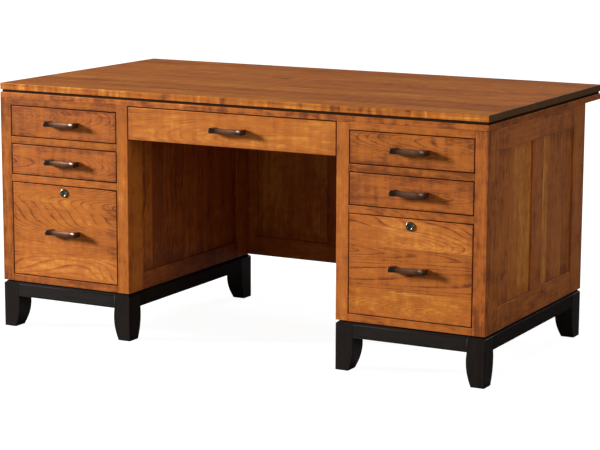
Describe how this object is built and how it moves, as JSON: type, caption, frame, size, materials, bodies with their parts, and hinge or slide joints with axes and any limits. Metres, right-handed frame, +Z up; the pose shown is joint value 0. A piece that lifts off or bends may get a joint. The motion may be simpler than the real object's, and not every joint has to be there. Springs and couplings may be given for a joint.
{
  "type": "double pedestal desk",
  "caption": "Cherry writing desk with a thick grooved top, a pencil drawer and box and file drawers in frame-and-panel pedestals on black tapered-leg bases.",
  "frame": {"origin": "on the floor, below the middle of the desk's outline including the pulls", "axes": "+X to the right of someone sitting at the desk, -Y to the front where the drawers open, +Z up"},
  "size_m": [1.676, 0.942, 0.787],
  "materials": {
    "cherry": "satin lacquer over stained cherry",
    "cherry_top": "satin lacquer over stained cherry",
    "black_stain": "satin black stain",
    "pale_maple": "clear satin lacquer",
    "dark_bronze": "rubbed dark bronze",
    "nickel": "bright nickel plate",
    "zinc_steel": "bright zinc plate"
  },
  "bodies": {
    "desk_case": {"cabinet_slides": "zinc_steel", "left_base_legs": "black_stain", "left_base_rails": "black_stain", "left_carcass_boards": "pale_maple", "left_face_frame": "cherry", "left_pedestal_frames": "cherry", "left_pedestal_panels": "cherry", "modesty_frame": "cherry", "modesty_panels": "cherry", "right_base_legs": "black_stain", "right_base_rails": "black_stain", "right_carcass_boards": "pale_maple", "right_face_frame": "cherry", "right_pedestal_frames": "cherry", "right_pedestal_panels": "cherry", "top_groove_spacer": "cherry_top", "top_lower_layer": "cherry_top", "top_screws": "zinc_steel", "top_slab": "cherry_top"},
    "left_file_drawer": {"left_file_drawer_box": "pale_maple", "left_file_drawer_front": "cherry", "left_file_drawer_pull": "dark_bronze", "left_file_drawer_slides": "zinc_steel", "left_file_lock_housing": "nickel"},
    "left_file_lock": {"left_file_lock_plug": "nickel"},
    "left_file_slide_middles": {"left_file_middle_slides": "zinc_steel"},
    "left_second_drawer": {"left_second_drawer_box": "pale_maple", "left_second_drawer_front": "cherry", "left_second_drawer_pull": "dark_bronze", "left_second_drawer_slides": "zinc_steel"},
    "left_second_slide_middles": {"left_second_middle_slides": "zinc_steel"},
    "left_top_drawer": {"left_top_drawer_box": "pale_maple", "left_top_drawer_front": "cherry", "left_top_drawer_pull": "dark_bronze", "left_top_drawer_slides": "zinc_steel"},
    "left_top_slide_middles": {"left_top_middle_slides": "zinc_steel"},
    "pencil_drawer": {"pencil_drawer_box": "pale_maple", "pencil_drawer_front": "cherry", "pencil_drawer_pull": "dark_bronze", "pencil_drawer_slides": "zinc_steel"},
    "pencil_slide_middles": {"pencil_middle_slides": "zinc_steel"},
    "right_file_drawer": {"right_file_drawer_box": "pale_maple", "right_file_drawer_front": "cherry", "right_file_drawer_pull": "dark_bronze", "right_file_drawer_slides": "zinc_steel", "right_file_lock_housing": "nickel"},
    "right_file_lock": {"right_file_lock_plug": "nickel"},
    "right_file_slide_middles": {"right_file_middle_slides": "zinc_steel"},
    "right_second_drawer": {"right_second_drawer_box": "pale_maple", "right_second_drawer_front": "cherry", "right_second_drawer_pull": "dark_bronze", "right_second_drawer_slides": "zinc_steel"},
    "right_second_slide_middles": {"right_second_middle_slides": "zinc_steel"},
    "right_top_drawer": {"right_top_drawer_box": "pale_maple", "right_top_drawer_front": "cherry", "right_top_drawer_pull": "dark_bronze", "right_top_drawer_slides": "zinc_steel"},
    "right_top_slide_middles": {"right_top_middle_slides": "zinc_steel"}
  },
  "joints": [
    {"name": "pencil_drawer_slide", "type": "slide", "parent": "desk_case", "child": "pencil_drawer", "axis": [0, -1, 0], "range_m": [0, 0.49]},
    {"name": "pencil_middle_slide", "type": "slide", "parent": "desk_case", "child": "pencil_slide_middles", "axis": [0, -1, 0], "range_m": [0, 0.245]},
    {"name": "left_top_drawer_slide", "type": "slide", "parent": "desk_case", "child": "left_top_drawer", "axis": [0, -1, 0], "range_m": [0, 0.64]},
    {"name": "left_top_middle_slide", "type": "slide", "parent": "desk_case", "child": "left_top_slide_middles", "axis": [0, -1, 0], "range_m": [0, 0.32]},
    {"name": "left_second_drawer_slide", "type": "slide", "parent": "desk_case", "child": "left_second_drawer", "axis": [0, -1, 0], "range_m": [0, 0.64]},
    {"name": "left_second_middle_slide", "type": "slide", "parent": "desk_case", "child": "left_second_slide_middles", "axis": [0, -1, 0], "range_m": [0, 0.32]},
    {"name": "left_file_drawer_slide", "type": "slide", "parent": "desk_case", "child": "left_file_drawer", "axis": [0, -1, 0], "range_m": [0, 0.64]},
    {"name": "left_file_middle_slide", "type": "slide", "parent": "desk_case", "child": "left_file_slide_middles", "axis": [0, -1, 0], "range_m": [0, 0.32]},
    {"name": "left_file_lock_turn", "type": "hinge", "parent": "left_file_drawer", "child": "left_file_lock", "pos_m": [-0.5995, -0.443, 0.451], "axis": [0, -1, 0], "range_deg": [0, 90]},
    {"name": "right_top_drawer_slide", "type": "slide", "parent": "desk_case", "child": "right_top_drawer", "axis": [0, -1, 0], "range_m": [0, 0.64]},
    {"name": "right_top_middle_slide", "type": "slide", "parent": "desk_case", "child": "right_top_slide_middles", "axis": [0, -1, 0], "range_m": [0, 0.32]},
    {"name": "right_second_drawer_slide", "type": "slide", "parent": "desk_case", "child": "right_second_drawer", "axis": [0, -1, 0], "range_m": [0, 0.64]},
    {"name": "right_second_middle_slide", "type": "slide", "parent": "desk_case", "child": "right_second_slide_middles", "axis": [0, -1, 0], "range_m": [0, 0.32]},
    {"name": "right_file_drawer_slide", "type": "slide", "parent": "desk_case", "child": "right_file_drawer", "axis": [0, -1, 0], "range_m": [0, 0.64]},
    {"name": "right_file_middle_slide", "type": "slide", "parent": "desk_case", "child": "right_file_slide_middles", "axis": [0, -1, 0], "range_m": [0, 0.32]},
    {"name": "right_file_lock_turn", "type": "hinge", "parent": "right_file_drawer", "child": "right_file_lock", "pos_m": [0.5995, -0.443, 0.451], "axis": [0, 1, 0], "range_deg": [0, 90]}
  ],
  "couplings": [
    {"joint": "pencil_middle_slide", "follows": "pencil_drawer_slide", "ratio": 0.5},
    {"joint": "left_top_middle_slide", "follows": "left_top_drawer_slide", "ratio": 0.5},
    {"joint": "left_second_middle_slide", "follows": "left_second_drawer_slide", "ratio": 0.5},
    {"joint": "left_file_middle_slide", "follows": "left_file_drawer_slide", "ratio": 0.5},
    {"joint": "right_top_middle_slide", "follows": "right_top_drawer_slide", "ratio": 0.5},
    {"joint": "right_second_middle_slide", "follows": "right_second_drawer_slide", "ratio": 0.5},
    {"joint": "right_file_middle_slide", "follows": "right_file_drawer_slide", "ratio": 0.5}
  ]
}
